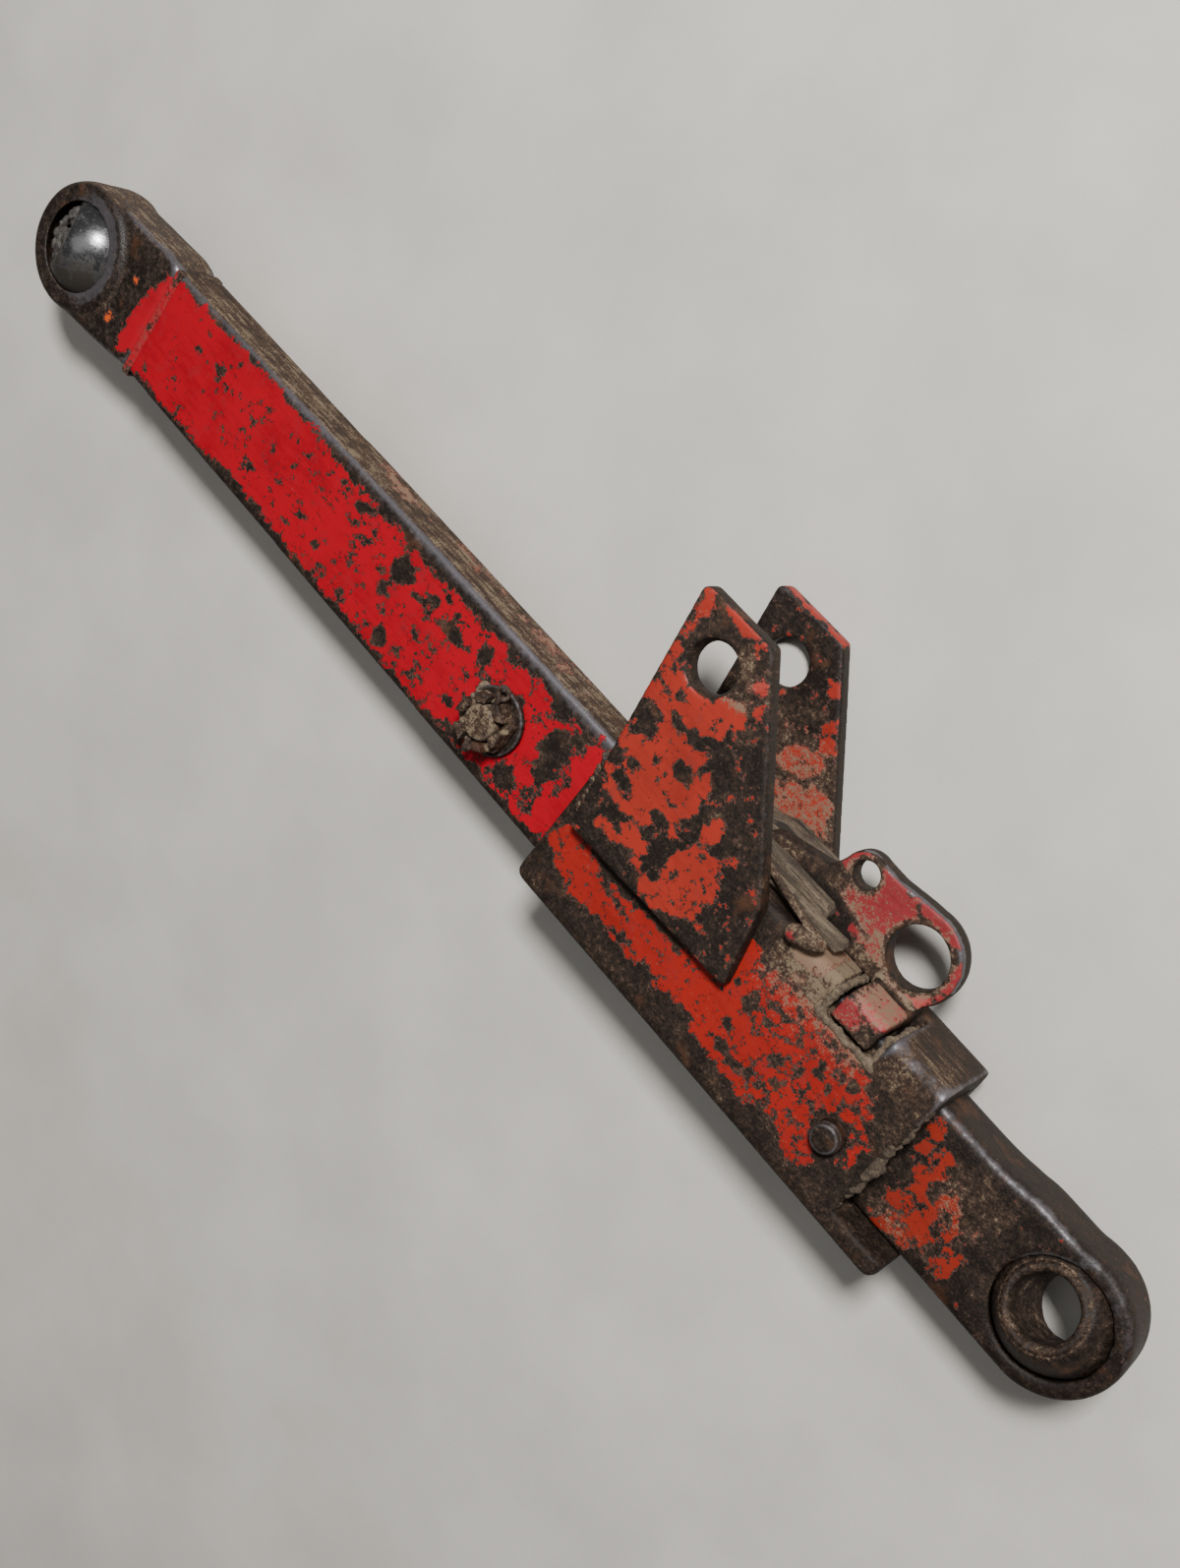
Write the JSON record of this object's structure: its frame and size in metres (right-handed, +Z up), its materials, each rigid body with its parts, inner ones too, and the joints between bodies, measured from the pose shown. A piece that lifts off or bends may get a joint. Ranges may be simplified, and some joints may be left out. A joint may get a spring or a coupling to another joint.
{
  "type": "telescoping lower lift arm",
  "caption": "Flat steel lift arm with a swivel ball eye at each end, a telescoping rear end held by a spring latch, and a two-ear clevis for a lift rod.",
  "frame": {"origin": "centre of the footprint of the bounding box, on the floor the arm lies on", "axes": "+X from the front (tractor) ball to the rear (implement) ball, +Y towards the clevis ears and the latch handle, +Z up through the arm's thickness as it lies on its side"},
  "size_m": [0.878, 0.1906, 0.0884],
  "materials": {
    "rusted_forging": "dark rust with burnished high spots",
    "worn_forging": "dark rust, traces of red paint, burnished edges",
    "weld_metal": "rough weld",
    "red_paint": "worn red paint over rust",
    "orange_red_paint": "worn orange-red paint over rust",
    "crimson_paint": "worn crimson paint",
    "dirty_steel": "rust under caked dirt",
    "dark_steel": "dark rusted steel",
    "spring_steel": "dark spring steel",
    "polished_ball": "dark polished steel",
    "rusted_ball": "brown rusted steel"
  },
  "bodies": {
    "arm": {"main_bar": "red_paint", "front_eye": "rusted_forging", "eye_weld": "weld_metal", "sleeve": "orange_red_paint", "near_ear": "orange_red_paint", "far_ear": "orange_red_paint", "near_ear_weld": "weld_metal", "far_ear_weld": "weld_metal", "latch_saddle": "dirty_steel", "guide_strip": "dirty_steel", "latch_pin": "dark_steel", "latch_spring": "spring_steel", "stop_bolt": "dark_steel", "stop_nut": "dark_steel", "sway_stud": "dark_steel", "sway_washer": "dirty_steel", "sway_back_washer": "dirty_steel", "sway_nut": "dirty_steel", "sway_cotter": "spring_steel"},
    "tractor_ball": {"front_ball": "polished_ball"},
    "telescoping_end": {"link_end": "worn_forging"},
    "implement_ball": {"rear_ball": "rusted_ball"},
    "latch_lever": {"latch": "crimson_paint"}
  },
  "joints": [
    {"name": "front_ball_swivel", "type": "hinge", "parent": "arm", "child": "tractor_ball", "pos_m": [-0.4, -0.04975, 0.0442], "axis": [0, 1, 0], "range_deg": [-3, 87]},
    {"name": "end_slide", "type": "slide", "parent": "arm", "child": "telescoping_end", "axis": [1, 0, 0], "range_m": [0, 0.1]},
    {"name": "rear_ball_swivel", "type": "hinge", "parent": "telescoping_end", "child": "implement_ball", "pos_m": [0.4, -0.04375, 0.0442], "axis": [0.6691, 0.7431, 0], "range_deg": [-27, 63]},
    {"name": "latch_lift", "type": "hinge", "parent": "arm", "child": "latch_lever", "pos_m": [0.156, 0.00875, 0.0442], "axis": [0, 0, 1], "range_deg": [0, 18], "stiffness_Nm_per_rad": 6, "springref_deg": -17.19}
  ]
}
